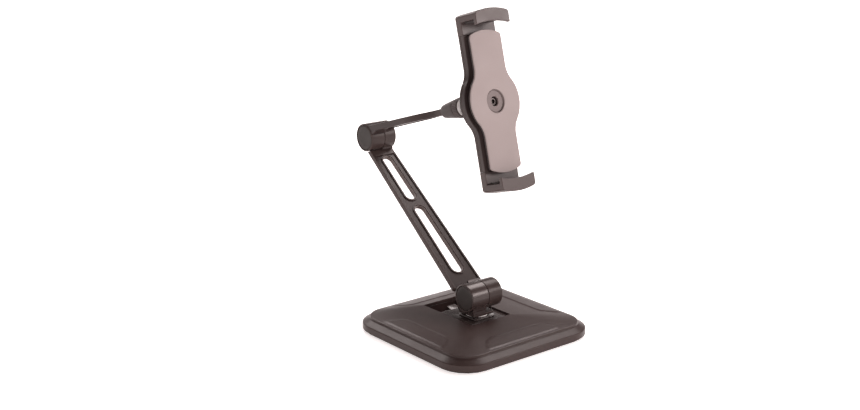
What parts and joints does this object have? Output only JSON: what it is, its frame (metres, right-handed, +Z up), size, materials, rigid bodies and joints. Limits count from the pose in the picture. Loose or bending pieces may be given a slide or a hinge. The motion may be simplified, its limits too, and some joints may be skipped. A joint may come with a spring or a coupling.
{
  "type": "tablet stand",
  "caption": "Free-standing tablet stand: weighted square base, swivelling pedestal, hinged arms, ball joint and a spring clamp with geared jaws.",
  "frame": {"origin": "centre of the base's underside, on the desk", "axes": "+Z up; +X along the hinge axes; -Y is the front, the way the clamp's face looks"},
  "size_m": [0.16, 0.2381, 0.2946],
  "materials": {
    "rubber_pad": "moulded rubber with a fine dimple",
    "base_plastic": "satin black-brown plastic",
    "ballast_steel": "plain rolled steel",
    "fastener_steel": "zinc-plated steel",
    "spring_steel": "drawn spring steel",
    "foot_plastic": "semi-gloss black-brown plastic",
    "arm_paint": "satin powder coat on die-cast aluminium",
    "cap_plastic": "satin plastic cap",
    "slip_nylon": "natural nylon",
    "ball_steel": "polished hard steel",
    "clamp_plastic": "satin black-brown plastic",
    "panel_grey": "warm grey matte panel",
    "jaw_rubber": "soft grip rubber"
  },
  "bodies": {
    "base": {"anti_slip_pad": "rubber_pad", "bottom_plate": "base_plastic", "ballast_plate": "ballast_steel", "base_cover": "base_plastic", "base_screw_1": "fastener_steel", "base_screw_2": "fastener_steel", "base_screw_3": "fastener_steel", "base_screw_4": "fastener_steel", "dock_tray": "base_plastic", "latch_spring": "spring_steel"},
    "latch": {"latch_button": "foot_plastic"},
    "foot": {"foot_plate": "foot_plastic", "swivel_plate": "foot_plastic"},
    "pedestal": {"pedestal": "arm_paint", "swivel_bolt": "fastener_steel", "swivel_washer": "slip_nylon", "lower_hinge_bolt": "fastener_steel", "lower_hinge_washer": "slip_nylon", "lower_hinge_cap_left": "cap_plastic"},
    "lower_arm": {"lower_arm": "arm_paint", "lower_hinge_nut": "fastener_steel", "lower_hinge_cap_right": "cap_plastic", "upper_hinge_nut": "fastener_steel", "upper_hinge_cap_right": "cap_plastic"},
    "upper_arm": {"upper_arm": "arm_paint", "upper_hinge_bolt": "fastener_steel", "upper_hinge_washer": "slip_nylon", "upper_hinge_cap_left": "cap_plastic", "socket_body": "arm_paint", "ball_seat": "slip_nylon"},
    "collar": {"lock_collar": "arm_paint"},
    "pivot": {"pivot_ball": "ball_steel"},
    "stud": {"ball_shank": "ball_steel", "centre_screw": "fastener_steel"},
    "clamp": {"back_shell": "clamp_plastic", "front_frame": "clamp_plastic", "face_panel": "panel_grey", "shell_screw_1": "fastener_steel", "shell_screw_2": "fastener_steel", "shell_screw_3": "fastener_steel", "shell_screw_4": "fastener_steel", "pinion_spring": "spring_steel"},
    "pinion": {"jaw_pinion": "slip_nylon"},
    "upper_jaw": {"upper_jaw": "clamp_plastic", "upper_jaw_pad": "jaw_rubber"},
    "lower_jaw": {"lower_jaw": "clamp_plastic", "lower_jaw_pad": "jaw_rubber"}
  },
  "joints": [
    {"name": "foot_slide", "type": "slide", "parent": "base", "child": "foot", "axis": [0, 1, 0], "range_m": [0, 0.01]},
    {"name": "latch_press", "type": "slide", "parent": "base", "child": "latch", "axis": [0, 0, -1], "range_m": [0, 0.0031], "deforming": ["latch_spring"]},
    {"name": "base_swivel", "type": "hinge", "parent": "foot", "child": "pedestal", "pos_m": [0, -0.005, 0.018], "axis": [0, 0, 1], "range_deg": [-180, 180]},
    {"name": "lower_hinge", "type": "hinge", "parent": "pedestal", "child": "lower_arm", "pos_m": [0, -0.008, 0.0372], "axis": [1, 0, 0], "range_deg": [-25, 75]},
    {"name": "upper_hinge", "type": "hinge", "parent": "lower_arm", "child": "upper_arm", "pos_m": [0, 0.14469, 0.15736], "axis": [-1, 0, 0], "range_deg": [-25, 95]},
    {"name": "collar_turn", "type": "hinge", "parent": "upper_arm", "child": "collar", "pos_m": [0, 0.0159, 0.20421], "axis": [0, -0.9563, 0.2924], "continuous": true},
    {"name": "ball_tilt", "type": "hinge", "parent": "upper_arm", "child": "pivot", "pos_m": [0, 0.0159, 0.20421], "axis": [1, 0, 0], "range_deg": [-20, 20]},
    {"name": "ball_pan", "type": "hinge", "parent": "pivot", "child": "stud", "pos_m": [0, 0.0159, 0.20421], "axis": [0, 0.2689, 0.9632], "range_deg": [-20, 20]},
    {"name": "clamp_turn", "type": "hinge", "parent": "stud", "child": "clamp", "pos_m": [0.00216, -0.02671, 0.21611], "axis": [0.0488, -0.962, 0.2686], "continuous": true},
    {"name": "jaw_open", "type": "slide", "parent": "clamp", "child": "upper_jaw", "axis": [0.0174, 0.2697, 0.9628], "range_m": [0, 0.044], "stiffness_N_per_m": 60, "springref_m": -0.05},
    {"name": "lower_jaw_open", "type": "slide", "parent": "clamp", "child": "lower_jaw", "axis": [-0.0174, -0.2697, -0.9628], "range_m": [0, 0.0441]},
    {"name": "pinion_turn", "type": "hinge", "parent": "clamp", "child": "pinion", "pos_m": [0.00216, -0.02671, 0.21611], "axis": [-0.0488, 0.962, -0.2686], "range_deg": [0, 340]}
  ],
  "couplings": [
    {"joint": "latch_press", "follows": "foot_slide", "ratio": 0.3},
    {"joint": "lower_jaw_open", "follows": "jaw_open", "ratio": 1},
    {"joint": "pinion_turn", "follows": "jaw_open", "rad_per_m": 133.33}
  ]
}
